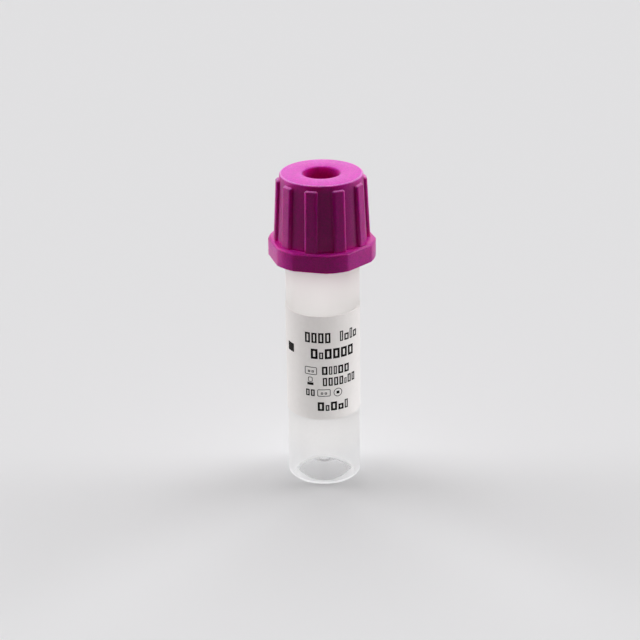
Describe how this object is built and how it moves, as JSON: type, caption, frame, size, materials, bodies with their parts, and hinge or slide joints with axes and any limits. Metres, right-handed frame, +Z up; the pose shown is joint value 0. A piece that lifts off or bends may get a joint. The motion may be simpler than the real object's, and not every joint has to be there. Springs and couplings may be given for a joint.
{
  "type": "capillary blood collection tube",
  "caption": "Small flat-footed plastic collection tube with a paper label and a ribbed push-on cap that has a flanged rim and a central well.",
  "frame": {"origin": "centre of the ring that the tube stands on", "axes": "+Z up along the tube to the cap; -Y out of the middle of one flat of the cap's flange, with a rib above it"},
  "size_m": [0.0156, 0.0148, 0.0475],
  "materials": {
    "tube_plastic": "translucent, satin",
    "cap_plastic": "satin",
    "label_paper": "matt paper"
  },
  "bodies": {
    "vessel": {"tube": "tube_plastic", "label": "label_paper"},
    "closure": {"cap": "cap_plastic"}
  },
  "joints": [
    {"name": "cap_pull", "type": "slide", "parent": "vessel", "child": "closure", "axis": [0, 0, 1], "range_m": [0, 0.015]}
  ]
}
